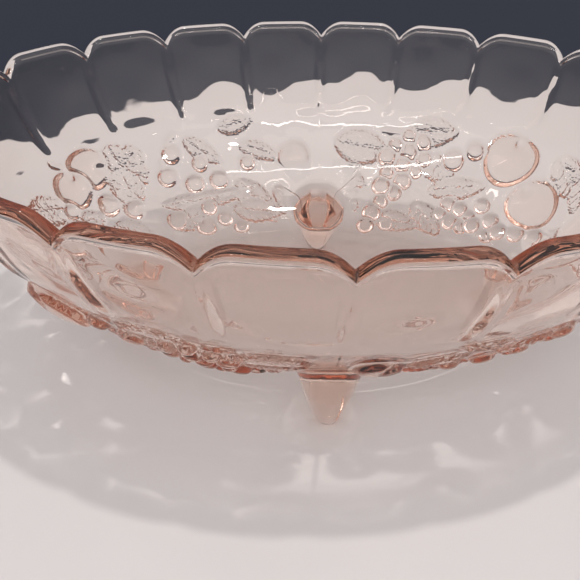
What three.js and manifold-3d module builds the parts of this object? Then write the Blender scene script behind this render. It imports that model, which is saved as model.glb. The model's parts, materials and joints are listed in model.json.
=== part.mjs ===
// A pressed-glass oval bowl with a scalloped rim, standing on four solid conical feet.
// Millimetres, +Z up, +X along the bowl's length. The origin is on the table, under the middle of the bowl.
import * as THREE from "three";
import { mergeVertices } from "three/addons/utils/BufferGeometryUtils.js";
import Module from "manifold-3d";

const wasm = await Module();
wasm.setup();

// The smooth outer surface of the bowl: a flat oval base that curves up into a flaring wall.
const RIM_HALF_LENGTH = 153;
const RIM_HALF_WIDTH = 107;
const RIM_HEIGHT = 114.5;
const BASE_HALF_WIDTH = 46;
const BASE_HEIGHT = 22.2;
const CENTRE_HEIGHT = 20.5;
const LENGTH_TO_WIDTH_SPREAD = 1.15; // how fast the half-length grows for each millimetre of half-width
const BASE_SHARE = 0.3; // the share of the surface's 0 to 1 coordinate that the base takes

// The glass.
const WALL_THICKNESS = 4.2;
const BASE_THICKNESS = 5.5;
const THICKNESS_FADE_HEIGHT = 45; // from the base up to here the glass thins to the wall's thickness

// The scalloped rim.
const SCALLOPS = 20;
const NOTCH_DEPTH = 6.5;
const SHOULDER_SHARE = 0.27; // the part of a scallop, at each end, that curves down to its notch
const SHOULDER_POWER = 2.1;
const LIP_ROUNDING = 1;

// The narrow pillar that runs down the outside under each notch.
const PILLAR_RISE = 1.3;
const PILLAR_TOP = 106;
const PILLAR_BOTTOM = 68;
const PILLAR_FADE = 5;

// The band round the lower half that carries the moulded fruit, as its mean thickness.
const BAND_RISE = 2.2;
const BAND_TOP = 70;
const BAND_BOTTOM = 26;
const BAND_FADE = 7;

// The feet.
const FOOT_ON_LENGTH = 88;
const FOOT_ON_WIDTH = 61;
const FOOT_CLEARANCE = 0.3; // between a foot's top and the bowl it carries
const FOOT_SIDES = 24;
const FOOT_TOP_HEIGHT = 50;
// Radius and height up one side: a small flat to stand on, a rounded tip, and a cone flaring at its root.
const FOOT_PROFILE = [
  [2.4, 0],
  [3.8, 1.4],
  [5.4, 4.2],
  [7.1, 9],
  [9, 16],
  [10.7, 23],
  [12.6, 29],
  [14.6, 37],
  [15.4, FOOT_TOP_HEIGHT],
];

// The grid that the bowl is built on.
const SCALLOP_STOPS = [0, 0.08, 0.19, 0.33, 0.5, 0.67, 0.81, 0.92]; // places across one scallop
const BASE_ROWS = 2;
const OUTER_WALL_ROWS = 10;
const INNER_WALL_ROWS = 7;
const SEAT_ROWS = 8;
const SEAT_HEIGHT = 75; // how high the shape goes that cuts the feet's tops

// Half-width against height, up one long side: the two middle points set how the wall sweeps up and flares.
const WALL_SWEEP = [68, 25.5];
const WALL_FLARE = [103.5, 72];
const wallCurve = new THREE.CubicBezierCurve(
  new THREE.Vector2(BASE_HALF_WIDTH, BASE_HEIGHT),
  new THREE.Vector2(...WALL_SWEEP),
  new THREE.Vector2(...WALL_FLARE),
  new THREE.Vector2(RIM_HALF_WIDTH, RIM_HEIGHT),
);

const lerp = THREE.MathUtils.lerp;
const smoothstep = THREE.MathUtils.smoothstep;

function halfLengthFor(halfWidth) {
  return RIM_HALF_LENGTH - LENGTH_TO_WIDTH_SPREAD * (RIM_HALF_WIDTH - halfWidth);
}

// A point of the smooth outer surface: `angle` goes round, `rise` goes from 0 at the centre to 1 at the rim.
function smoothPoint(angle, rise) {
  let halfWidth;
  let halfLength;
  let height;
  if (rise < BASE_SHARE) {
    const k = rise / BASE_SHARE;
    halfWidth = k * BASE_HALF_WIDTH;
    halfLength = k * halfLengthFor(BASE_HALF_WIDTH);
    height = lerp(CENTRE_HEIGHT, BASE_HEIGHT, k * k);
  } else {
    const p = wallCurve.getPoint((rise - BASE_SHARE) / (1 - BASE_SHARE));
    halfWidth = p.x;
    halfLength = halfLengthFor(p.x);
    height = p.y;
  }
  return new THREE.Vector3(halfLength * Math.cos(angle), halfWidth * Math.sin(angle), height);
}

function outwardNormal(angle, rise) {
  const step = 0.002;
  const low = Math.max(rise - step, step);
  const high = Math.min(rise + step, 1);
  const around = smoothPoint(angle + step, rise).sub(smoothPoint(angle - step, rise));
  const upward = smoothPoint(angle, high).sub(smoothPoint(angle, low));
  return around.cross(upward).normalize();
}

// The same surface moved outwards (or inwards, when negative) along its normal.
function offsetPoint(angle, rise, outward) {
  return smoothPoint(angle, rise).addScaledVector(outwardNormal(angle, rise), outward);
}

function glassThickness(height) {
  const share = smoothstep(height, BASE_HEIGHT, THICKNESS_FADE_HEIGHT);
  return lerp(BASE_THICKNESS, WALL_THICKNESS, share);
}

// A plateau of height 1 between bottom and top, with soft edges.
function plateau(height, bottom, top, fade) {
  return smoothstep(height, bottom, bottom + fade) * (1 - smoothstep(height, top - fade, top));
}

function pillarRise(stop, height) {
  const onPillar = stop === 0;
  return onPillar ? PILLAR_RISE * plateau(height, PILLAR_BOTTOM, PILLAR_TOP, PILLAR_FADE) : 0;
}

function outerRelief(stop, height) {
  return BAND_RISE * plateau(height, BAND_BOTTOM, BAND_TOP, BAND_FADE) + pillarRise(stop, height);
}

// Angles of the oval at equal distances along the rim, so that every scallop is equally wide.
function rimAngles() {
  const samples = 7200;
  const lengths = [0];
  let last = smoothPoint(0, 1);
  for (let i = 1; i <= samples; i += 1) {
    const point = smoothPoint((i / samples) * 2 * Math.PI, 1);
    lengths.push(lengths[i - 1] + point.distanceTo(last));
    last = point;
  }
  const columns = [];
  let i = 0;
  for (let scallop = 0; scallop < SCALLOPS; scallop += 1) {
    for (const stop of SCALLOP_STOPS) {
      const wanted = ((scallop + stop) / SCALLOPS) * lengths[samples];
      while (lengths[i + 1] < wanted) i += 1;
      const part = (wanted - lengths[i]) / (lengths[i + 1] - lengths[i]);
      columns.push({ stop, angle: ((i + part) / samples) * 2 * Math.PI });
    }
  }
  return columns;
}

// The height of the rim's edge: flat along the middle of a scallop, falling to a notch at its two ends.
function edgeHeight(stop) {
  const fromNotch = Math.min(stop, 1 - stop);
  const k = Math.min(fromNotch / SHOULDER_SHARE, 1);
  return RIM_HEIGHT - NOTCH_DEPTH * Math.pow(1 - k, SHOULDER_POWER);
}

// The rise at which the surface, moved outwards by `outward`, reaches a height.
function riseAtHeight(angle, height, outward) {
  let low = BASE_SHARE;
  let high = 1.1;
  for (let i = 0; i < 40; i += 1) {
    const middle = (low + high) / 2;
    if (offsetPoint(angle, middle, outward).z < height) low = middle;
    else high = middle;
  }
  return low;
}

const COLUMNS = rimAngles();

function ring(pointOfColumn) {
  return COLUMNS.map(pointOfColumn);
}

// Rings of the outer surface, from the base's edge up to `topOf(column)`, moved outwards by `extra`.
function outerRings(rows, topOf, extra) {
  const rings = [];
  for (let i = 1; i <= BASE_ROWS; i += 1) {
    const rise = (BASE_SHARE * i) / (BASE_ROWS + 1);
    rings.push(ring((c) => offsetPoint(c.angle, rise, extra)));
  }
  for (let i = 0; i <= rows; i += 1) {
    rings.push(ring((c) => {
      const rise = lerp(BASE_SHARE, riseAtHeight(c.angle, topOf(c), 0), i / rows);
      const height = smoothPoint(c.angle, rise).z;
      return offsetPoint(c.angle, rise, outerRelief(c.stop, height) + extra);
    }));
  }
  return rings;
}

function innerRings(rows, topOf) {
  const rings = [];
  for (let i = rows; i >= 0; i -= 1) {
    rings.push(ring((c) => {
      const rise = lerp(BASE_SHARE, riseAtHeight(c.angle, topOf(c), -WALL_THICKNESS), i / rows);
      const height = smoothPoint(c.angle, rise).z;
      return offsetPoint(c.angle, rise, -glassThickness(height));
    }));
  }
  for (let i = BASE_ROWS; i >= 1; i -= 1) {
    const rise = (BASE_SHARE * i) / (BASE_ROWS + 1);
    rings.push(ring((c) => offsetPoint(c.angle, rise, -BASE_THICKNESS)));
  }
  return rings;
}

// Closes a stack of rings, from a start point through every ring to an end point.
function closedStack(startPoint, rings, endPoint) {
  const count = COLUMNS.length;
  const positions = [startPoint, ...rings.flat(), endPoint].flatMap((p) => [p.x, p.y, p.z]);
  const endIndex = 1 + rings.length * count;
  const triangles = [];
  for (let c = 0; c < count; c += 1) {
    const next = (c + 1) % count;
    triangles.push(0, 1 + next, 1 + c);
    for (let r = 0; r + 1 < rings.length; r += 1) {
      const here = 1 + r * count;
      const above = here + count;
      triangles.push(here + c, here + next, above + next);
      triangles.push(here + c, above + next, above + c);
    }
    const lastRing = endIndex - count;
    triangles.push(endIndex, lastRing + c, lastRing + next);
  }
  const geometry = new THREE.BufferGeometry();
  geometry.setAttribute("position", new THREE.Float32BufferAttribute(positions, 3));
  geometry.setIndex(triangles);
  return geometry;
}

function bowlGeometry() {
  const shoulderHeight = (c) => edgeHeight(c.stop) - LIP_ROUNDING;
  const outer = outerRings(OUTER_WALL_ROWS, shoulderHeight, 0);
  const inner = innerRings(INNER_WALL_ROWS, shoulderHeight);
  const outerEdge = outer[outer.length - 1];
  const innerEdge = inner[0];
  const lip = [0.25, 0.75].map((across) => outerEdge.map((point, c) => {
    const onTop = point.clone().lerp(innerEdge[c], across);
    onTop.z += LIP_ROUNDING;
    return onTop;
  }));
  const bottom = new THREE.Vector3(0, 0, CENTRE_HEIGHT);
  const floor = new THREE.Vector3(0, 0, CENTRE_HEIGHT + BASE_THICKNESS);
  return closedStack(bottom, [...outer, ...lip, ...inner], floor);
}

// The lower part of the bowl's outside, grown by the clearance and filled: it shapes the tops of the feet.
function seatGeometry() {
  const rings = outerRings(SEAT_ROWS, () => SEAT_HEIGHT, FOOT_CLEARANCE);
  const bottom = new THREE.Vector3(0, 0, CENTRE_HEIGHT - FOOT_CLEARANCE);
  const top = new THREE.Vector3(0, 0, SEAT_HEIGHT);
  return closedStack(bottom, rings, top);
}

function toSolid(geometry) {
  const plain = geometry.clone();
  plain.deleteAttribute("normal");
  plain.deleteAttribute("uv");
  const merged = mergeVertices(plain, 1e-4);
  return new wasm.Manifold(new wasm.Mesh({
    numProp: 3,
    vertProperties: new Float32Array(merged.attributes.position.array),
    triVerts: new Uint32Array(merged.index.array),
  }));
}

function toGeometry(solid) {
  const mesh = solid.getMesh();
  const geometry = new THREE.BufferGeometry();
  geometry.setAttribute("position", new THREE.BufferAttribute(mesh.vertProperties, 3));
  geometry.setIndex(new THREE.BufferAttribute(mesh.triVerts, 1));
  return geometry;
}

// A foot at its place under the bowl, with its top cut to the bowl's underside.
function footGeometry(x, y, seat) {
  const outline = [[0, 0], ...FOOT_PROFILE, [0, FOOT_TOP_HEIGHT]].map(([r, z]) => new THREE.Vector2(r, z));
  const turned = new THREE.LatheGeometry(outline, FOOT_SIDES);
  turned.rotateX(Math.PI / 2);
  turned.translate(x, y, 0);
  return toGeometry(toSolid(turned).subtract(seat));
}

function glassMesh(name, geometry) {
  const material = new THREE.MeshStandardMaterial({
    name,
    color: 0xe3b3a1,
    roughness: 0.04,
    metalness: 0,
    transparent: true,
    opacity: 0.45,
  });
  geometry.computeVertexNormals();
  const mesh = new THREE.Mesh(geometry, material);
  mesh.name = name;
  return mesh;
}

const dish = new THREE.Group();
dish.add(glassMesh("bowl", bowlGeometry()));

const seat = toSolid(seatGeometry());
dish.add(glassMesh("foot_front", footGeometry(0, -FOOT_ON_WIDTH, seat)));
dish.add(glassMesh("foot_back", footGeometry(0, FOOT_ON_WIDTH, seat)));
dish.add(glassMesh("foot_left", footGeometry(-FOOT_ON_LENGTH, 0, seat)));
dish.add(glassMesh("foot_right", footGeometry(FOOT_ON_LENGTH, 0, seat)));

export default dish;
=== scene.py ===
"""A pink pressed-glass oval bowl with moulded fruit, standing on four feet on a pale table."""

import json
import math

import bpy
import numpy as np
from mathutils import Matrix, Vector


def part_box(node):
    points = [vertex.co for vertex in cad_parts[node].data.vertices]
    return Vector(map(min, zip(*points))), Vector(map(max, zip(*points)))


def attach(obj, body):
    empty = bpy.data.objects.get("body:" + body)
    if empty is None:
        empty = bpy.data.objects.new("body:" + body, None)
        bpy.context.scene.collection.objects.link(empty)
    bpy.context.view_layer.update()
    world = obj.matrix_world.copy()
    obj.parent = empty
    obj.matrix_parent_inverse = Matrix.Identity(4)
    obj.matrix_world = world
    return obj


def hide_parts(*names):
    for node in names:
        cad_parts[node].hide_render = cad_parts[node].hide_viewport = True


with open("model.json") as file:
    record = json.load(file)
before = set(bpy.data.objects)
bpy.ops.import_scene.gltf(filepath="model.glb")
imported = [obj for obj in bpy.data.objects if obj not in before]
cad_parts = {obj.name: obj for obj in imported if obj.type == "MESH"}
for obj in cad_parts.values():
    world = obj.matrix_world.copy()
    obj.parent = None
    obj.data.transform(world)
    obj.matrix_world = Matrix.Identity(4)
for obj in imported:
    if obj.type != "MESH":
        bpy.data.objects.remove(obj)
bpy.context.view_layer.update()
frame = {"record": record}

MM = 0.001

# The bowl's smooth outer surface, as in the CAD: a flat oval base that curves up into a flaring wall.
BOWL_LOW, BOWL_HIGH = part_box("bowl")
HALF_LENGTH, HALF_WIDTH, RIM_HEIGHT = BOWL_HIGH
CENTRE_HEIGHT = BOWL_LOW.z
BASE_HEIGHT = 0.194 * RIM_HEIGHT
BASE_HALF_WIDTH = 0.43 * HALF_WIDTH
LENGTH_TO_WIDTH_SPREAD = 1.15
BASE_SHARE = 0.3
WALL_CURVE = (
    (BASE_HALF_WIDTH, BASE_HEIGHT),
    (0.636 * HALF_WIDTH, 0.223 * RIM_HEIGHT),
    (0.967 * HALF_WIDTH, 0.629 * RIM_HEIGHT),
    (HALF_WIDTH, RIM_HEIGHT),
)
WALL_THICKNESS = 4.2 * MM
BASE_THICKNESS = 5.5 * MM
THICKNESS_FADE_HEIGHT = 45 * MM

# The rim: scallops that fall to sharp notches, with a rounded lip all the way round.
SCALLOPS = 20
NOTCH_DEPTH = 6.5 * MM
SHOULDER_SHARE = 0.27
SHOULDER_POWER = 2.1
LIP_HEIGHT = 3.7 * MM
LIP_CENTRE_SHARE = 0.4
LIP_BEAD = 0.8 * MM
LIP_FIRST_TURN = -0.22 * math.pi
LIP_STEPS = 12

# Under each scallop lies a raised, slightly crowned panel, and under each notch a rounded pillar. A
# low wave keeps each panel from being flat, and is shifted in radians from one panel to the next.
PANEL_RISE = 0.6 * MM
PANEL_CROWN = 0.3 * MM
PANEL_BOTTOM = 66 * MM
PANEL_FADE = 10 * MM
PANEL_WAVE = 0.4 * MM
PANEL_WAVE_LENGTH = 30 * MM
PANEL_WAVE_ACROSS = 5
PANEL_SHIFT_ACROSS, PANEL_SHIFT_UP = 1.7, 2.3
PILLAR_RISE = 1.2 * MM
PILLAR_HALF_WIDTH = 4.6 * MM
PILLAR_BOTTOM = 70 * MM
PILLAR_FADE = 12 * MM
PILLAR_TOP_GAP, PILLAR_CAP = 1 * MM, 12 * MM
COLLAR_HEIGHT = 102 * MM
COLLAR_SPAN = 16 * MM

# The grid that the shell is built on.
PILLAR_COLUMNS, PANEL_COLUMNS = 6, 12
RELIEF_LOW_RISE = 0.26
RELIEF_TOP = 76 * MM
BASE_ROWS, RELIEF_ROWS, PANEL_ROWS, COLLAR_ROWS = 6, 80, 9, 6
INNER_WALL_ROWS, INNER_BASE_ROWS = 11, 3

# The moulded fruit, in millimetres: a steep edge, and then a crown.
EDGE_WIDTH = 1.6
EDGE_SHARE = 0.55
MOAT_WIDTH = 1.5
BERRY_RISE = 2.9
STEM_RISE, STEM_HALF_WIDTH = 1.5, 1.2
BUNCH_BERRY_RADIUS = 4.4

# Leaves, in millimetres: a sloping edge, a fine grain, and a toothed margin with a vein for each tooth.
LEAF_RISE, LOBED_LEAF_RISE = 1.9, 2.0
LEAF_EDGE_WIDTH = 1.3
FOLIAGE_GRAIN = 0.22
TOOTH_DEPTH, TOOTH_PITCH = 0.9, 3.4
LEAF_LOBES = 5

# The grooves of the ribs and veins, as shares of the leaf's rise.
RIB_SHARE, VEIN_SHARE, LOBED_VEIN_SHARE = 0.75, 0.6, 0.55
DEEPEST_GROOVE_SHARE = 0.85

# A motif reaches only this far in or out from its spot, and its flat coordinates stop there.
MOTIF_DEPTH = 25 * MM
FAR_AWAY = 1e3

# The feet: where they stand, and how each root meets the bowl.
FOOT_TIPS = {mount["name"]: Vector(mount["pos_m"]) for mount in frame["record"]["mounts"]}
FOOT_ROOT_RADIUS = 16.5 * MM
FOOT_ROOT_TRIM = 4.5 * MM
FOOT_WINDOW_MARGIN = 1.5 * MM
FOOT_NECK_HEIGHT = 19 * MM
FOOT_SKIRT_RINGS, FOOT_FILLET_RINGS = 2, 9
FOOT_FILLET_PULL = 1.1
FOOT_FACETS = 6
FOOT_FACET_SHARE = 0.75
FOOT_FACET_FADE = 6 * MM
FOOT_CLEAR_FROM, FOOT_CLEAR_TO = 16 * MM, 21 * MM

# The radius and height of each ring of a foot, from its neck down to the tip, in millimetres.
FOOT_PROFILE = (
    (9.7, 19), (9.0, 16), (8.1, 12.5), (7.1, 9), (6.2, 6.3),
    (5.4, 4.2), (4.6, 2.6), (3.8, 1.4), (3.1, 0.5), (2.4, 0),
)

# The pale table top, which ends in slate beyond a circle.
TABLE_CENTRE = (0.06, 0.0, 0.0)
TABLE_RADIUS = 0.35
TABLE_EDGE_BLUR = 0.004
TABLE_HALF_SIZE = 3.0

# The lights, in metres and watts. The small lamps strike sparkles from the moulded fruit.
WARM, NEUTRAL = (1.0, 0.94, 0.90), (1.0, 0.97, 0.95)
KEY_PLACE, KEY_SIZE, KEY_WATTS = (0.12, -0.05, 1.3), 0.045, 4.3
SOFT_PLACE, SOFT_WIDTH, SOFT_DEPTH, SOFT_WATTS = (0, -0.75, 0.95), 1.3, 0.34, 1.1
STRIP_DEPTH = 0.022
NEAR_STRIP_ENDS, NEAR_STRIP_WATTS = ((0.43, -0.66, 1.2), (-0.63, -0.92, 1.2)), 1.0
FAR_STRIP_ENDS, FAR_STRIP_WATTS = ((0.42, -1.42, 1.2), (-0.52, -1.42, 1.2)), 0.9
SPOT_SIZE, SPOT_WATTS = 0.03, 0.1
SPOT_HEIGHT = 1.2
SPOT_PLACES = (
    (0.93, -0.82), (0.53, -1.07), (-0.11, -0.69), (-0.35, -0.69), (0.25, -0.35),
    (-0.75, -0.45), (0.70, 0.15), (-0.45, 0.25), (-0.95, -1.0),
)

# The camera, in metres, degrees and, for its lens, millimetres.
CAMERA_PLACE = (-0.01721, -0.22399, 0.19543)
CAMERA_AZIMUTH, CAMERA_ELEVATION, CAMERA_ROLL = -0.43, 37.97, 0.67
CAMERA_LENS, CAMERA_SENSOR = 37.23, 36


def smoothstep(value, low, high):
    k = np.clip((value - low) / (high - low), 0, 1)
    return k * k * (3 - 2 * k)


def lerp(a, b, k):
    return a + (b - a) * k


def unit(vectors):
    return vectors / np.linalg.norm(vectors, axis=-1, keepdims=True)


# ---- The smooth surface ----

def half_length_for(half_width):
    return HALF_LENGTH - LENGTH_TO_WIDTH_SPREAD * (HALF_WIDTH - half_width)


def section(rise):
    """Half-length, half-width and height of the outer surface, from 0 at its centre to 1 at the rim."""
    t = np.maximum((rise - BASE_SHARE) / (1 - BASE_SHARE), 0)
    weights = ((1 - t) ** 3, 3 * (1 - t) ** 2 * t, 3 * (1 - t) * t ** 2, t ** 3)
    wall_half_width = sum(w * point[0] for w, point in zip(weights, WALL_CURVE))
    wall_height = sum(w * point[1] for w, point in zip(weights, WALL_CURVE))
    k = np.clip(rise / BASE_SHARE, 0, 1)
    on_base = rise < BASE_SHARE
    half_width = np.where(on_base, k * BASE_HALF_WIDTH, wall_half_width)
    base_half_length = k * half_length_for(BASE_HALF_WIDTH)
    half_length = np.where(on_base, base_half_length, half_length_for(wall_half_width))
    height = np.where(on_base, lerp(CENTRE_HEIGHT, BASE_HEIGHT, k * k), wall_height)
    return half_length, half_width, height


def smooth_point(angle, rise):
    half_length, half_width, height = section(rise)
    parts = np.broadcast_arrays(half_length * np.cos(angle), half_width * np.sin(angle), height)
    return np.stack(parts, -1)


def surface_frame(angle, rise):
    """Unit vectors around, up along, and out of the smooth surface."""
    step = 0.002
    around = unit(smooth_point(angle + step, rise) - smooth_point(angle - step, rise))
    below = smooth_point(angle, np.maximum(rise - step, step / 2))
    upward = unit(smooth_point(angle, rise + step) - below)
    out = unit(np.cross(around, upward))
    return around, np.cross(out, around), out


def offset_point(angle, rise, outward):
    out = surface_frame(angle, rise)[2]
    return smooth_point(angle, rise) + out * np.asarray(outward)[..., None]


def rise_at_height(angle, height, outward=0.0):
    """The rise at which the surface, moved outwards, reaches a height."""
    angle, height = np.broadcast_arrays(np.asarray(angle, float), height)
    low = np.full(angle.shape, BASE_SHARE)
    high = np.full(angle.shape, 1.1)
    moved = np.broadcast_to(outward, angle.shape)
    for _ in range(30):
        middle = (low + high) / 2
        below = offset_point(angle, middle, moved)[..., 2] < height
        low = np.where(below, middle, low)
        high = np.where(below, high, middle)
    return low


def glass_thickness(height):
    return lerp(BASE_THICKNESS, WALL_THICKNESS, smoothstep(height, BASE_HEIGHT, THICKNESS_FADE_HEIGHT))


# ---- Bearings: places round the rim, counted in scallops from the +X end ----

ARC_ANGLES = np.linspace(0, 2 * math.pi, 7201)
ARC_STEPS = np.linalg.norm(np.diff(smooth_point(ARC_ANGLES, np.array(1.0)), axis=0), axis=1)
ARC_BEARINGS = np.concatenate(([0], np.cumsum(ARC_STEPS))) / ARC_STEPS.sum() * SCALLOPS
PITCH = ARC_STEPS.sum() / SCALLOPS


def angle_of(bearing):
    return np.interp(np.mod(bearing, SCALLOPS), ARC_BEARINGS, ARC_ANGLES)


def column_bearings():
    """Columns that stand closer together on the pillars than on the panels."""
    pillar_edge = PILLAR_HALF_WIDTH / PITCH
    on_pillar = np.linspace(0, pillar_edge, PILLAR_COLUMNS + 1)
    on_panel = np.linspace(pillar_edge, 0.5, PANEL_COLUMNS + 1)[1:]
    half = np.concatenate([on_pillar, on_panel])
    stops = np.concatenate([half, 1 - half[-2:0:-1]])
    return (np.arange(SCALLOPS)[:, None] + stops[None, :]).ravel()


def edge_height(stop):
    """The rim's edge: flat along the middle of a scallop, falling to a sharp notch at its ends."""
    k = np.clip(np.minimum(stop, 1 - stop) / SHOULDER_SHARE, 0, 1)
    return RIM_HEIGHT - NOTCH_DEPTH * (1 - k) ** SHOULDER_POWER


def panel_relief(bearing, height):
    """The raised panel under each scallop, never quite flat, and the rounded pillar under each notch."""
    stop = np.mod(bearing, 1)
    panel_index = np.floor(bearing)
    below_lip = edge_height(stop) - LIP_HEIGHT - height
    middle = 1 - np.abs(2 * stop - 1) ** 4
    across = np.cos(PANEL_WAVE_ACROSS * (stop - 0.5) + PANEL_SHIFT_ACROSS * panel_index)
    up = np.sin(2 * math.pi * height / PANEL_WAVE_LENGTH + PANEL_SHIFT_UP * panel_index)
    wave = across * up
    shape = (PANEL_CROWN + PANEL_WAVE * wave) * middle * smoothstep(below_lip, 0, COLLAR_SPAN)
    panel = (PANEL_RISE + shape) * smoothstep(height, PANEL_BOTTOM, PANEL_BOTTOM + PANEL_FADE)
    from_seam = np.minimum(stop, 1 - stop) * PITCH
    round_back = 0.5 + 0.5 * np.cos(math.pi * np.clip(from_seam / PILLAR_HALF_WIDTH, 0, 1))
    pillar = PILLAR_RISE * round_back * smoothstep(height, PILLAR_BOTTOM, PILLAR_BOTTOM + PILLAR_FADE)
    pillar = pillar * smoothstep(below_lip, PILLAR_TOP_GAP, PILLAR_TOP_GAP + PILLAR_CAP)
    return panel + pillar


# ---- The moulded fruit, as a height in millimetres over the smooth surface ----

class Canvas:
    """Heights over the points of the relief band. Each motif is drawn in its own flat coordinates."""

    def __init__(self, points):
        self.points = points
        self.height = np.zeros(points.shape[:-1])
        self.foliage = np.zeros(points.shape[:-1])

    def place(self, bearing, height_mm, turn_deg=0.0):
        """Coordinates (u, v) in millimetres from a spot, u turned from `around` towards `upward`."""
        angle = angle_of(bearing)
        rise = rise_at_height(angle, height_mm * MM)
        centre = smooth_point(angle, rise)
        around, upward, out = surface_frame(angle, rise)
        offset = self.points - centre
        a = offset @ around / MM
        b = offset @ upward / MM
        near = np.abs(offset @ out) < MOTIF_DEPTH
        c, s = math.cos(math.radians(turn_deg)), math.sin(math.radians(turn_deg))
        return np.where(near, c * a + s * b, FAR_AWAY), np.where(near, c * b - s * a, FAR_AWAY)

    def lay(self, beyond, height, foliage=0.0):
        """Lays a motif over the others: `beyond` is how far a point lies outside its outline."""
        on_motif = beyond < 0
        self.height = np.where(on_motif, height, self.height * smoothstep(beyond, 0, MOAT_WIDTH))
        self.foliage = np.where(on_motif, foliage, self.foliage)


def pillow(beyond, radius, rise):
    """The height of a moulded body: its outline is where `beyond` is 0, its middle `radius` inside that."""
    inside = -beyond
    crown = np.clip(1 - (1 - inside / radius) ** 2, 0, 1)
    return rise * (EDGE_SHARE * smoothstep(inside, 0, EDGE_WIDTH) + (1 - EDGE_SHARE) * crown)


def leaf_blade(beyond, rise, ribs, veins):
    """The height of a leaf whose ribs and veins are grooves."""
    groove = np.clip(ribs + veins, 0, DEEPEST_GROOVE_SHARE)
    return rise * smoothstep(-beyond, 0, LEAF_EDGE_WIDTH) * (1 - groove)


def berry(canvas, bearing, height_mm, radius):
    u, v = canvas.place(bearing, height_mm)
    beyond = np.hypot(u, v) - radius
    canvas.lay(beyond, pillow(beyond, radius, BERRY_RISE))


def apple(canvas, bearing, height_mm, radius, rise, turn):
    """A round fruit with the dimple of its stalk towards one side."""
    u, v = canvas.place(bearing, height_mm, turn)
    beyond = np.hypot(u, v) * (1 + 0.04 * np.cos(3 * np.arctan2(v, u))) - radius
    from_stalk = np.hypot(u - 0.66 * radius, v)
    dimple = 0.5 * rise * np.exp(-((from_stalk / (0.2 * radius)) ** 2))
    canvas.lay(beyond, np.maximum(pillow(beyond, radius, rise) - dimple, 0))


def pear(canvas, bearing, height_mm, length, radius, rise, turn):
    """A fruit that tapers from a round end at the spot to a slim neck `length` away along u."""
    u, v = canvas.place(bearing, height_mm, turn)
    k = np.clip(u / length, 0, 1)
    local = radius * (1 - 0.6 * smoothstep(k, 0.1, 0.95))
    beyond = np.hypot(u - k * length, v) - local
    canvas.lay(beyond, pillow(beyond, local, rise * (local / radius) ** 0.5))


def leaf(canvas, bearing, height_mm, length, width, turn, bend=0.0):
    """A pointed leaf with a toothed margin, a grooved midrib and slanting side veins."""
    u, v = canvas.place(bearing, height_mm, turn)
    v = v - bend * u * (1 - u / length)
    k = np.clip(u / length, 0, 1)
    teeth = TOOTH_DEPTH * np.abs(np.sin(math.pi * u / TOOTH_PITCH))
    half = 0.5 * width * np.sin(math.pi * k ** 0.8) ** 0.85 + teeth * np.sin(math.pi * k)
    beyond = np.maximum(np.abs(v) - half, np.abs(u - length / 2) - length / 2)
    slant = np.mod(u - 0.9 * np.abs(v), TOOTH_PITCH) - TOOTH_PITCH / 2
    midrib = RIB_SHARE * np.exp(-((v / 0.75) ** 2))
    veins = VEIN_SHARE * np.exp(-((slant / 0.6) ** 2))
    canvas.lay(beyond, leaf_blade(beyond, LEAF_RISE, midrib, veins), foliage=1.0)


def lobed_leaf(canvas, bearing, height_mm, radius, turn):
    """A vine leaf: rounded lobes, a rib to the tip of each, and veins between the ribs."""
    u, v = canvas.place(bearing, height_mm, turn)
    away, theta = np.hypot(u, v), np.arctan2(v, u)
    lobe = 0.76 + 0.24 * np.abs(np.cos(LEAF_LOBES * theta / 2)) ** 0.7
    beyond = away - (radius * lobe + 0.5 * np.sin(3 * LEAF_LOBES * theta))
    half_sector = math.pi / LEAF_LOBES
    sector = np.mod(theta + half_sector, 2 * math.pi / LEAF_LOBES) - half_sector
    off_rib = away * np.abs(np.sin(sector))
    along_rib = away * np.cos(sector)
    slant = np.mod(along_rib - 1.2 * off_rib, 3.0) - 1.5
    ribs = RIB_SHARE * np.exp(-((off_rib / 0.7) ** 2))
    veins = LOBED_VEIN_SHARE * np.exp(-((slant / 0.55) ** 2))
    canvas.lay(beyond, leaf_blade(beyond, LOBED_LEAF_RISE, ribs, veins), foliage=1.0)


def stem(canvas, bearing, height_mm, length, turn, bend):
    u, v = canvas.place(bearing, height_mm, turn)
    v = v - bend * np.sin(math.pi * np.clip(u / length, 0, 1)) * length
    beyond = np.maximum(np.abs(v) - STEM_HALF_WIDTH, np.abs(u - length / 2) - length / 2)
    canvas.lay(beyond, STEM_RISE * np.sqrt(np.clip(1 - (v / STEM_HALF_WIDTH) ** 2, 0, 1)))


def grapes(canvas, bearing, height_mm, length, width, turn, radius=4.8, rise=3.6):
    """A tapering bunch that hangs along u from its spot, its grapes in staggered rows that overlap."""
    u, v = canvas.place(bearing, height_mm, turn)
    row_step = 1.6 * radius
    rows = round(length / row_step)
    for row in range(rows + 1):
        k = row / rows
        row_width = width * (1 - 0.85 * k) * (0.7 + 0.3 * min(1, 3 * k))
        count = max(1, round(row_width / (1.8 * radius)))
        for i in range(count):
            across = (i - (count - 1) / 2) * 1.8 * radius + 0.5 * (-1) ** (row + i)
            size = radius * (1.08 - 0.11 * ((row + 2 * i) % 3))
            swell = 1 - 0.3 * (2 * across / (width + radius)) ** 2
            beyond = np.hypot(u - row * row_step, v - across) - size
            canvas.lay(beyond, pillow(beyond, size, rise * swell))


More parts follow.
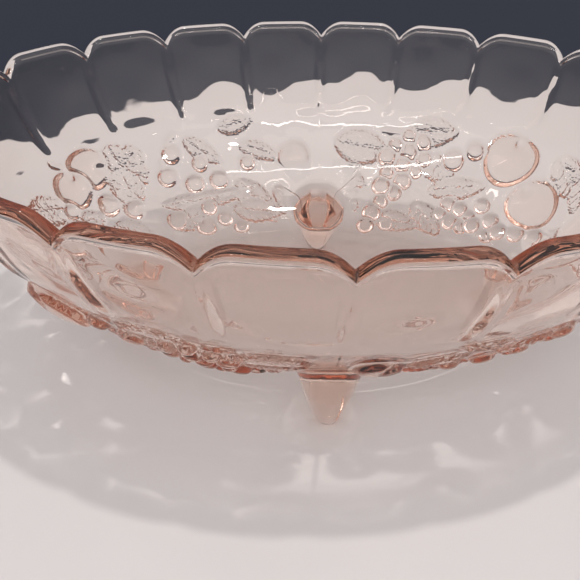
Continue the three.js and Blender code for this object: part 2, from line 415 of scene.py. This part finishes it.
def garland(canvas, start):
    """The fruit along one long side. Bearings run from one end of the bowl to the other."""
    def at(bearing):
        return start + bearing

    # leaves and stems lie lowest, behind the fruit
    for bearing, height_mm, length, turn, bend in (
        (9.10, 69, 16, 215, 0.05), (7.20, 66, 22, -60, 0.12), (2.45, 66, 18, -120, 0.10),
        (4.05, 64, 26, 170, 0.12),
    ):
        stem(canvas, at(bearing), height_mm, length, turn, bend)
    for bearing, height_mm, length, width, turn, bend in (
        (9.95, 60, 26, 14, 215, 0), (9.70, 46, 24, 13, 200, 0), (0.20, 58, 24, 14, 20, 0),
        (1.45, 68, 26, 15, 225, 0), (0.95, 64, 24, 13, 240, 0), (0.60, 46, 26, 15, 250, 0),
        (7.10, 63, 24, 9, 222, 0.10), (6.30, 57, 25, 8, 204, -0.14), (6.55, 65, 20, 9, 170, 0),
        (6.45, 42, 32, 15, 238, 0), (5.85, 37, 26, 13, 215, 0), (4.75, 57, 32, 18, 190, 0),
        (4.95, 45, 26, 15, 200, 0), (3.62, 64, 26, 15, 175, 0), (3.30, 54, 22, 13, 215, 0),
        (7.95, 38, 50, 9, 189, 0.10), (3.20, 34, 24, 13, 225, 0), (8.95, 38, 24, 13, 235, 0),
    ):
        leaf(canvas, at(bearing), height_mm, length, width, turn, bend)
    for bearing, height_mm, radius, turn in (
        (8.18, 56, 14, 75), (8.30, 47, 9, 20),
    ):
        lobed_leaf(canvas, at(bearing), height_mm, radius, turn)
    for bearing, height_mm, length, width, turn, bend in (
        (3.05, 40, 31, 11, 166, 0.08), (6.70, 31, 27, 13, 196, 0), (8.05, 29, 26, 12, 172, 0),
        (5.85, 29, 20, 12, 165, 0), (4.20, 30, 22, 12, 12, 0), (3.90, 27, 26, 12, 188, 0),
    ):
        leaf(canvas, at(bearing), height_mm, length, width, turn, bend)
    # the round fruit
    for bearing, height_mm, radius, rise, turn in (
        (8.64, 61, 10.6, 4.9, 200), (9.05, 56, 9.8, 4.8, 120), (8.74, 45, 5.9, 3.6, 20),
        (8.42, 40, 5.4, 3.2, 200), (7.86, 31, 5.6, 3.2, 100), (7.42, 26.5, 5.4, 3.0, 60),
        (5.42, 50, 9.0, 3.2, 60), (2.06, 60, 13.6, 5.4, 100), (1.34, 46, 13.0, 5.2, 40),
    ):
        apple(canvas, at(bearing), height_mm, radius, rise, turn)
    for bearing, height_mm, length, radius, rise, turn in (
        (0.30, 44, 22, 8.8, 4.4, 60), (9.60, 34, 16, 6.4, 3.4, 100),
    ):
        pear(canvas, at(bearing), height_mm, length, radius, rise, turn)
    for bearing, height_mm, radius in (
        (7.37, 57, 5.2), (7.58, 48, 5.4), (7.19, 43, 5.4), (6.76, 43, 5.4), (6.98, 51, 4.6),
        (2.84, 54, 5.9), (2.58, 60, 4.9), (9.35, 50, 4.6), (0.85, 36, 4.8), (6.20, 49, 4.4),
        (6.95, 28, 4.4), (6.72, 24.5, 4.2), (4.42, 36, 4.4), (3.55, 25, 4.2), (7.15, 33, 4.6),
    ):
        berry(canvas, at(bearing), height_mm, radius)
    # grapes
    grapes(canvas, at(3.50), 61, 56, 30, -70)
    grapes(canvas, at(2.60), 34, 26, 20, 200, radius=4.2, rise=3.0)
    for bearing, height_mm in ((2.03, 39), (1.71, 34.5), (1.45, 32), (1.15, 34), (1.95, 31)):
        berry(canvas, at(bearing), height_mm, BUNCH_BERRY_RADIUS)


def clear_of_feet(points):
    """0 at a foot and 1 away from it: the fruit fades out round the feet."""
    clear = np.ones(points.shape[:-1])
    for tip in FOOT_TIPS.values():
        away = np.hypot(points[..., 0] - tip.x, points[..., 1] - tip.y)
        clear = np.minimum(clear, smoothstep(away, FOOT_CLEAR_FROM, FOOT_CLEAR_TO))
    return clear


def fine_grain(points):
    """A fixed irregular texture between -1 and 1, about two millimetres across."""
    x, y, z = (points[..., i] / MM for i in range(3))
    coarse = np.sin(2.3 * x + 1.1 * y + 0.7 * z) * np.sin(1.3 * y - 1.9 * z + 0.4 * x)
    fine = np.sin(3.1 * z - 1.7 * x + 2.0) * np.sin(2.6 * y + 1.2 * x - 0.8)
    return 0.6 * coarse + 0.4 * fine


def soften(height):
    """The mould's edges are never sharp: each height is blended a little with its neighbours."""
    around = (np.roll(height, 1, 1) + np.roll(height, -1, 1)) / 2
    up_down = height.copy()
    up_down[1:-1] = (height[2:] + height[:-2]) / 2
    return 0.64 * height + 0.18 * around + 0.18 * up_down


def fruit_relief(points):
    """The fruit's height in metres, and where it is leaves."""
    canvas = Canvas(points)
    for start in (0, SCALLOPS / 2):
        garland(canvas, start)
    height = soften(canvas.height + FOLIAGE_GRAIN * canvas.foliage * fine_grain(points))
    clear = clear_of_feet(points)
    return np.maximum(height, 0) * clear * MM, canvas.foliage * clear


# ---- The shell ----

class Shell:
    """Vertices and faces of the one closed glass mesh."""

    def __init__(self):
        self.blocks = []
        self.count = 0
        self.faces = []

    def add(self, points):
        """Adds a grid of points and returns their indices in the same grid."""
        points = np.asarray(points, float)
        flat = points.reshape(-1, 3)
        index = self.count + np.arange(len(flat)).reshape(points.shape[:-1])
        self.blocks.append(flat)
        self.count += len(flat)
        return index

    def skin(self, grid, keep=None):
        """Quads over a grid of indices whose columns close on themselves."""
        here, after = grid[:-1], np.roll(grid, -1, 1)[:-1]
        above, above_after = grid[1:], np.roll(grid, -1, 1)[1:]
        quads = np.stack([here, after, above_after, above], -1)
        if keep is not None:
            quads = quads[keep]
        self.faces.extend(map(tuple, quads.reshape(-1, 4).tolist()))

    def fan(self, centre, ring, flip=False):
        for a, b in zip(ring, np.roll(ring, -1)):
            self.faces.append((int(centre), int(a), int(b)) if flip else (int(centre), int(b), int(a)))

    def mesh(self, name):
        mesh = bpy.data.meshes.new(name)
        mesh.from_pydata(np.concatenate(self.blocks).tolist(), [], self.faces)
        mesh.validate()
        mesh.polygons.foreach_set("use_smooth", [True] * len(mesh.polygons))
        mesh.update()
        return mesh


def outer_rises(angles, stops):
    """The rise of every outer row and column, from the base up to the foot of the lip."""
    flat = np.ones_like(angles)
    top_rise = rise_at_height(angles, RELIEF_TOP)
    collar_rise = rise_at_height(angles, COLLAR_HEIGHT)
    lip_rise = rise_at_height(angles, edge_height(stops) - LIP_HEIGHT)
    base = RELIEF_LOW_RISE * np.arange(1, BASE_ROWS + 1)[:, None] / (BASE_ROWS + 1) * flat
    band = lerp(RELIEF_LOW_RISE, top_rise, np.linspace(0, 1, RELIEF_ROWS)[:, None])
    panel = lerp(top_rise, collar_rise, np.arange(1, PANEL_ROWS + 1)[:, None] / PANEL_ROWS)
    collar = lerp(collar_rise, lip_rise, np.arange(1, COLLAR_ROWS + 1)[:, None] / COLLAR_ROWS)
    return np.concatenate([base, band, panel, collar])


def lip_rings(outer_edge, inner_edge, upward):
    """Rings over the lip: a round bead that stands out of the wall on the outside and is flush inside."""
    centre = (outer_edge + inner_edge) / 2 + upward * LIP_HEIGHT * LIP_CENTRE_SHARE
    across = (outer_edge - inner_edge) / 2
    tall = LIP_HEIGHT * (1 - LIP_CENTRE_SHARE)
    rings = []
    for turn in np.linspace(LIP_FIRST_TURN, math.pi, LIP_STEPS + 1):
        side = math.cos(turn)
        bead = unit(across) * LIP_BEAD * max(side, 0)
        rings.append(centre + across * side + bead + upward * tall * math.sin(turn))
    return rings


def plan_to_surface(x, y):
    """The angle and rise of the smooth outer surface over a place in plan."""
    low, high = np.zeros(np.shape(x)), np.ones(np.shape(x))
    for _ in range(40):
        middle = (low + high) / 2
        half_length, half_width, _height = section(middle)
        beyond = (x / half_length) ** 2 + (y / half_width) ** 2 > 1
        low = np.where(beyond, middle, low)
        high = np.where(beyond, high, middle)
    half_length, half_width, _height = section(low)
    return np.arctan2(y / half_width, x / half_length), low


def foot_window(tip, points):
    """The rows and columns of the outer grid that a foot's root covers."""
    distance = np.hypot(points[..., 0] - tip.x, points[..., 1] - tip.y)
    count = points.shape[1]
    seam = int(np.argmin(np.min(distance, axis=0)))
    reach = FOOT_ROOT_RADIUS + FOOT_WINDOW_MARGIN
    inside = np.nonzero(distance[:, seam] < reach)[0]
    middle_row = int(np.argmin(distance[:, seam]))
    half = 1
    while distance[middle_row, (seam + half) % count] < reach:
        half += 1
    columns = [(seam + k) % count for k in range(-half, half + 1)]
    return inside.min() - 1, inside.max() + 1, columns


def window_outline(first, last, columns):
    """The grid places round a window, in order."""
    lower = [(first, c) for c in columns]
    right = [(r, columns[-1]) for r in range(first + 1, last + 1)]
    upper = [(last, c) for c in reversed(columns[:-1])]
    left = [(r, columns[0]) for r in range(last - 1, first, -1)]
    return lower + right + upper + left


def foot_rings(tip, edge):
    """Rings of a foot, from the window in the bowl down to the flat of its tip."""
    def ring_at(radius, height):
        share = FOOT_FACET_SHARE * smoothstep(height, 0, FOOT_FACET_FADE)
        reach = radius * lerp(1, facet[:, None], share)
        level = np.full((len(direction), 1), height)
        return np.concatenate([direction * reach, level], -1) + np.array([tip.x, tip.y, 0])

    bearing = np.arctan2(edge[:, 1] - tip.y, edge[:, 0] - tip.x)
    half_facet = math.pi / FOOT_FACETS
    off_middle = np.mod(bearing - math.atan2(tip.y, tip.x) + half_facet, 2 * half_facet) - half_facet
    facet = math.cos(half_facet / 2) / np.cos(off_middle)
    direction = np.stack([np.cos(bearing), np.sin(bearing)], -1)
    facing_out = np.maximum(np.cos(bearing - math.atan2(tip.y, tip.x)), 0)
    root_radius = FOOT_ROOT_RADIUS - FOOT_ROOT_TRIM * facing_out ** 1.5
    edge_radius = np.hypot(edge[:, 0] - tip.x, edge[:, 1] - tip.y)
    rings = []
    for step in range(1, FOOT_SKIRT_RINGS + 1):
        radius = lerp(edge_radius, root_radius, step / FOOT_SKIRT_RINGS)
        spot = plan_to_surface(tip.x + direction[:, 0] * radius, tip.y + direction[:, 1] * radius)
        rings.append(smooth_point(*spot))
    root = rings[-1]
    out = surface_frame(*spot)[2]
    inward = np.concatenate([-direction, np.zeros((len(direction), 1))], -1)
    root_tangent = unit(inward - out * np.sum(inward * out, -1, keepdims=True))
    neck = ring_at(FOOT_PROFILE[0][0] * MM, FOOT_NECK_HEIGHT)
    neck_tangent = unit(ring_at(FOOT_PROFILE[1][0] * MM, FOOT_PROFILE[1][1] * MM) - neck)
    reach = FOOT_FILLET_PULL * np.linalg.norm(neck - root, axis=-1, keepdims=True)
    for k in np.arange(1, FOOT_FILLET_RINGS + 1) / FOOT_FILLET_RINGS:
        at_root, along_root = 2 * k ** 3 - 3 * k ** 2 + 1, k ** 3 - 2 * k ** 2 + k
        at_neck, along_neck = 1 - at_root, k ** 3 - k ** 2
        ends = at_root * root + at_neck * neck
        rings.append(ends + reach * (along_root * root_tangent + along_neck * neck_tangent))
    for radius, height in FOOT_PROFILE[1:]:
        rings.append(ring_at(radius * MM, height * MM))
    return rings


def add_foot(shell, tip, grid, points, keep):
    """Cuts a window in the outer grid round a foot's root and fills it with the foot."""
    first, last, columns = foot_window(tip, points)
    outline = window_outline(first, last, columns)
    edge = np.array([points[place] for place in outline])
    rings = shell.add(np.array(foot_rings(tip, edge)))
    loop = np.array([grid[place] for place in outline])
    shell.skin(np.concatenate([loop[None], rings]))
    centre = shell.add(np.array([[tip.x, tip.y, 0.0]]))[0]
    shell.fan(centre, rings[-1], flip=True)
    for c in columns[:-1]:
        keep[first:last, c] = False


def build_bowl():
    """The whole dish as one closed mesh: the pressed bowl and its four feet are one piece of glass."""
    bearings = column_bearings()
    stops = np.mod(bearings, 1)
    angles = angle_of(bearings)
    rises = outer_rises(angles, stops)
    smooth = smooth_point(angles, rises)
    relief = panel_relief(bearings, smooth[..., 2])
    band = slice(BASE_ROWS - 1, BASE_ROWS + RELIEF_ROWS + 1)
    fruit, foliage = fruit_relief(smooth[band])
    relief[band] = np.maximum(relief[band], fruit)
    outer = offset_point(angles, rises, relief)

    lip_foot = edge_height(stops) - LIP_HEIGHT
    inner_top = rise_at_height(angles, lip_foot, -glass_thickness(lip_foot))
    share = np.arange(INNER_WALL_ROWS, 0, -1)[:, None] / INNER_WALL_ROWS
    wall_rises = lerp(BASE_SHARE, inner_top, share)
    base_rises = BASE_SHARE * np.arange(INNER_BASE_ROWS + 1, 0, -1)[:, None] / (INNER_BASE_ROWS + 1)
    inner_rises = np.concatenate([wall_rises, base_rises * np.ones_like(angles)])
    inner = offset_point(angles, inner_rises, -glass_thickness(smooth_point(angles, inner_rises)[..., 2]))
    upward = surface_frame(angles, rises[-1])[1]
    lip = lip_rings(outer[-1], inner[0], upward)

    shell = Shell()
    rows = np.concatenate([outer, np.array(lip), inner])
    grid = shell.add(rows)
    keep = np.ones((len(rows) - 1, len(angles)), bool)
    for tip in FOOT_TIPS.values():
        add_foot(shell, tip, grid, outer, keep)
    shell.skin(grid, keep)
    bottom = shell.add(np.array([[0, 0, CENTRE_HEIGHT]]))[0]
    shell.fan(bottom, grid[0])
    floor = shell.add(np.array([[0, 0, CENTRE_HEIGHT + BASE_THICKNESS]]))[0]
    shell.fan(floor, grid[-1], flip=True)
    bowl = bpy.data.objects.new("pressed_bowl", shell.mesh("pressed_bowl"))
    bpy.context.scene.collection.objects.link(bowl)

    leafy = np.zeros(shell.count)
    leafy[grid[band].ravel()] = foliage.ravel()
    attribute = bowl.data.attributes.new("foliage", "FLOAT", "POINT")
    attribute.data.foreach_set("value", leafy)
    return bowl


# ---- Materials ----

def new_material(name):
    material = bpy.data.materials.new(name)
    material.use_nodes = True
    nodes = material.node_tree.nodes
    nodes.clear()
    return material, nodes, material.node_tree.links


def glass_material():
    """Pink glass, coloured by its own depth, with a mould's faint ripple and a fine grain on the leaves."""
    material, nodes, links = new_material("pink_pressed_glass")
    output = nodes.new("ShaderNodeOutputMaterial")
    shader = nodes.new("ShaderNodeBsdfPrincipled")
    shader.inputs["Base Color"].default_value = (1.0, 0.985, 0.975, 1)
    shader.inputs["Transmission Weight"].default_value = 1.0
    shader.inputs["IOR"].default_value = 1.51
    shader.inputs["Roughness"].default_value = 0.0
    absorption = nodes.new("ShaderNodeVolumeAbsorption")
    absorption.inputs["Color"].default_value = (0.93, 0.54, 0.33, 1)
    absorption.inputs["Density"].default_value = 25
    place = nodes.new("ShaderNodeTexCoord")
    ripple = nodes.new("ShaderNodeTexNoise")
    ripple.inputs["Scale"].default_value = 55
    ripple.inputs["Detail"].default_value = 1.5
    wave = nodes.new("ShaderNodeBump")
    wave.inputs["Strength"].default_value = 0.12
    wave.inputs["Distance"].default_value = 0.002
    leafy = nodes.new("ShaderNodeAttribute")
    leafy.attribute_name = "foliage"
    grain = nodes.new("ShaderNodeTexVoronoi")
    grain.inputs["Scale"].default_value = 700
    veined = nodes.new("ShaderNodeMath")
    veined.operation = "MULTIPLY"
    vein = nodes.new("ShaderNodeBump")
    vein.inputs["Strength"].default_value = 0.75
    vein.inputs["Distance"].default_value = 0.0006
    links.new(place.outputs["Object"], ripple.inputs["Vector"])
    links.new(place.outputs["Object"], grain.inputs["Vector"])
    links.new(ripple.outputs["Fac"], wave.inputs["Height"])
    links.new(grain.outputs["Distance"], veined.inputs[0])
    links.new(leafy.outputs["Fac"], veined.inputs[1])
    links.new(veined.outputs["Value"], vein.inputs["Height"])
    links.new(wave.outputs["Normal"], vein.inputs["Normal"])
    links.new(vein.outputs["Normal"], shader.inputs["Normal"])
    links.new(shader.outputs["BSDF"], output.inputs["Surface"])
    links.new(absorption.outputs["Volume"], output.inputs["Volume"])
    return material


def table_material():
    """A pale matt table top with a faint mottle, turning to slate beyond its edge."""
    material, nodes, links = new_material("pale_table")
    output = nodes.new("ShaderNodeOutputMaterial")
    shader = nodes.new("ShaderNodeBsdfPrincipled")
    shader.inputs["Roughness"].default_value = 0.6
    shader.inputs["Specular IOR Level"].default_value = 0.2
    place = nodes.new("ShaderNodeTexCoord")
    mottle = nodes.new("ShaderNodeTexNoise")
    mottle.inputs["Scale"].default_value = 9
    mottle.inputs["Detail"].default_value = 4
    tone = nodes.new("ShaderNodeValToRGB")
    tone.color_ramp.elements[0].color = (0.66, 0.64, 0.635, 1)
    tone.color_ramp.elements[1].color = (0.72, 0.70, 0.69, 1)
    from_centre = nodes.new("ShaderNodeVectorMath")
    from_centre.operation = "DISTANCE"
    from_centre.inputs[1].default_value = TABLE_CENTRE
    edge = nodes.new("ShaderNodeMapRange")
    edge.interpolation_type = "SMOOTHSTEP"
    edge.inputs["From Min"].default_value = TABLE_RADIUS
    edge.inputs["From Max"].default_value = TABLE_RADIUS + TABLE_EDGE_BLUR
    mix = nodes.new("ShaderNodeMix")
    mix.data_type = "RGBA"
    mix.inputs["B"].default_value = (0.022, 0.028, 0.046, 1)
    links.new(place.outputs["Object"], mottle.inputs["Vector"])
    links.new(place.outputs["Object"], from_centre.inputs[0])
    links.new(from_centre.outputs["Value"], edge.inputs["Value"])
    links.new(edge.outputs["Result"], mix.inputs["Factor"])
    links.new(mottle.outputs["Fac"], tone.inputs["Fac"])
    links.new(tone.outputs["Color"], mix.inputs["A"])
    links.new(mix.outputs["Result"], shader.inputs["Base Color"])
    links.new(shader.outputs["BSDF"], output.inputs["Surface"])
    return material


# ---- Stage, lights and camera ----

def build_table():
    s = TABLE_HALF_SIZE
    mesh = bpy.data.meshes.new("table")
    mesh.from_pydata([(-s, -s, 0), (s, -s, 0), (s, s, 0), (-s, s, 0)], [], [(0, 1, 2, 3)])
    mesh.materials.append(table_material())
    table = bpy.data.objects.new("table", mesh)
    bpy.context.scene.collection.objects.link(table)
    table.cycles.is_caustics_receiver = True


def add_light(name, shape, width, depth, watts, colour, matrix):
    data = bpy.data.lights.new(name, "AREA")
    data.shape = shape
    data.size, data.size_y = width, depth
    data.energy = watts
    data.color = colour
    light = bpy.data.objects.new(name, data)
    bpy.context.scene.collection.objects.link(light)
    light.matrix_world = matrix
    return light


def round_light(name, place, width, depth, watts, colour):
    """A round or oval light that faces the spot under the middle of the bowl."""
    aim = (-Vector(place)).to_track_quat("-Z", "Y").to_matrix().to_4x4()
    return add_light(name, "ELLIPSE", width, depth, watts, colour, Matrix.Translation(place) @ aim)


def strip_light(name, ends, watts):
    """A strip that hangs level, facing down, from one point to another."""
    start, end = (Vector(point) for point in ends)
    along = end - start
    turn = Matrix.Rotation(math.atan2(along.y, along.x), 4, "Z")
    place = Matrix.Translation((start + end) / 2)
    add_light(name, "RECTANGLE", along.length, STRIP_DEPTH, watts, NEUTRAL, place @ turn)


def studio_world():
    """A soft dome: grey at the horizon behind the bowl, pale overhead and in front."""
    world = bpy.data.worlds.new("studio")
    world.use_nodes = True
    nodes, links = world.node_tree.nodes, world.node_tree.links
    background = nodes["Background"]
    place = nodes.new("ShaderNodeTexCoord")
    lean = nodes.new("ShaderNodeVectorMath")
    lean.operation = "DOT_PRODUCT"
    lean.inputs[1].default_value = (0, -0.35, 1)
    sky = nodes.new("ShaderNodeValToRGB")
    sky.color_ramp.elements[0].position = 0.0
    sky.color_ramp.elements[0].color = (0.21, 0.20, 0.21, 1)
    sky.color_ramp.elements[1].position = 0.7
    sky.color_ramp.elements[1].color = (1.0, 0.965, 0.975, 1)
    background.inputs["Strength"].default_value = 0.80
    links.new(place.outputs["Generated"], lean.inputs[0])
    links.new(lean.outputs["Value"], sky.inputs["Fac"])
    links.new(sky.outputs["Color"], background.inputs["Color"])
    return world


def build_lights():
    key = round_light("key_lamp", KEY_PLACE, KEY_SIZE, KEY_SIZE, KEY_WATTS, WARM)
    key.data.cycles.is_caustics_light = True
    soft = round_light("soft_panel", SOFT_PLACE, SOFT_WIDTH, SOFT_DEPTH, SOFT_WATTS, NEUTRAL)
    soft.visible_glossy = False
    strip_light("near_strip", NEAR_STRIP_ENDS, NEAR_STRIP_WATTS)
    strip_light("far_strip", FAR_STRIP_ENDS, FAR_STRIP_WATTS)
    for x, y in SPOT_PLACES:
        round_light("spot_lamp", (x, y, SPOT_HEIGHT), SPOT_SIZE, SPOT_SIZE, SPOT_WATTS, NEUTRAL)
    bpy.context.scene.world = studio_world()


def build_camera():
    """From the front, 38 degrees down and close, so that the ends of the bowl are out of the frame."""
    data = bpy.data.cameras.new("camera")
    data.sensor_width = CAMERA_SENSOR
    data.lens = CAMERA_LENS
    camera = bpy.data.objects.new("camera", data)
    bpy.context.scene.collection.objects.link(camera)
    azimuth, elevation = math.radians(CAMERA_AZIMUTH), math.radians(CAMERA_ELEVATION)
    level = math.cos(elevation)
    back = Vector((math.sin(azimuth) * level, -math.cos(azimuth) * level, math.sin(elevation)))
    aim = (-back).to_track_quat("-Z", "Y").to_matrix().to_4x4()
    roll = Matrix.Rotation(math.radians(CAMERA_ROLL), 4, "Z")
    camera.matrix_world = Matrix.Translation(CAMERA_PLACE) @ aim @ roll
    bpy.context.scene.camera = camera


def set_rendering():
    scene = bpy.context.scene
    cycles = scene.cycles
    cycles.max_bounces = 24
    cycles.transmission_bounces = 24
    cycles.glossy_bounces = 10
    cycles.diffuse_bounces = 4
    cycles.caustics_reflective = True
    cycles.caustics_refractive = True
    cycles.blur_glossy = 0.3
    cycles.sample_clamp_indirect = 12
    cycles.use_denoising = True
    scene.view_settings.view_transform = "Standard"
    scene.view_settings.exposure = 0.0


build_camera()
bowl = build_bowl()
bowl.data.materials.append(glass_material())
bowl.cycles.is_caustics_caster = True
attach(bowl, "root")
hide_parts("bowl", "foot_front", "foot_back", "foot_left", "foot_right")
build_table()
build_lights()
set_rendering()
